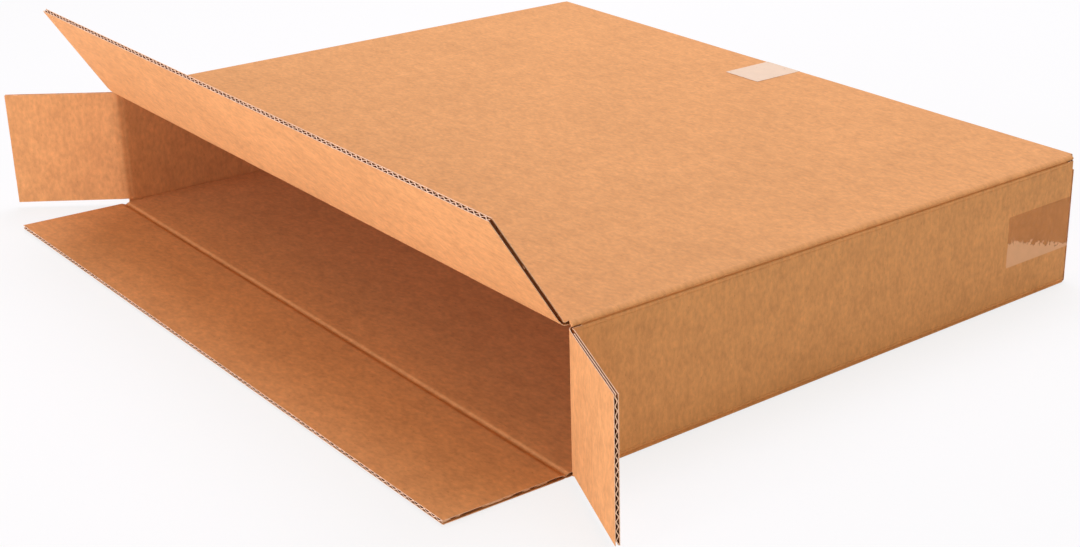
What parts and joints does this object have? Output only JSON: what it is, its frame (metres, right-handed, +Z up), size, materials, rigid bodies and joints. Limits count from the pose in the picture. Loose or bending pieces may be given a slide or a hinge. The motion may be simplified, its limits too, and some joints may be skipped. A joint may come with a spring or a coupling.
{
  "type": "side-loading cardboard box",
  "caption": "Flat, wide corrugated shipping box, open along one long edge with its front flaps folded out and its back flaps taped shut.",
  "frame": {"origin": "middle of the underside of the bottom panel", "axes": "+X to the right seen from the open side, -Y out of the opening, +Z up from the surface the box lies on"},
  "size_m": [0.9975, 0.7436, 0.235],
  "materials": {
    "kraft_board": "uncoated brown kraft liner, matt",
    "clear_tape": "clear packing tape, slightly milky, smooth"
  },
  "bodies": {
    "carton_body": {"carton": "kraft_board", "top_tape": "clear_tape", "left_tape": "clear_tape", "right_tape": "clear_tape"},
    "top_flap_body": {"top_flap": "kraft_board"},
    "bottom_flap_body": {"bottom_flap": "kraft_board"},
    "left_flap_body": {"left_flap": "kraft_board"},
    "right_flap_body": {"right_flap": "kraft_board"}
  },
  "joints": [
    {"name": "top_flap_fold", "type": "hinge", "parent": "carton_body", "child": "top_flap_body", "pos_m": [0, -0.3105, 0.135], "axis": [-1, 0, 0], "range_deg": [-147.9, 117.1]},
    {"name": "bottom_flap_fold", "type": "hinge", "parent": "carton_body", "child": "bottom_flap_body", "pos_m": [0, -0.3128, 0.002], "axis": [1, 0, 0], "range_deg": [-89, 1]},
    {"name": "left_flap_fold", "type": "hinge", "parent": "carton_body", "child": "left_flap_body", "pos_m": [-0.41, -0.3062, 0.0686], "axis": [0, 0, -1], "range_deg": [-125.1, 139.9]},
    {"name": "right_flap_fold", "type": "hinge", "parent": "carton_body", "child": "right_flap_body", "pos_m": [0.41, -0.3062, 0.0686], "axis": [0, 0, 1], "range_deg": [-158.2, 106.8]}
  ]
}
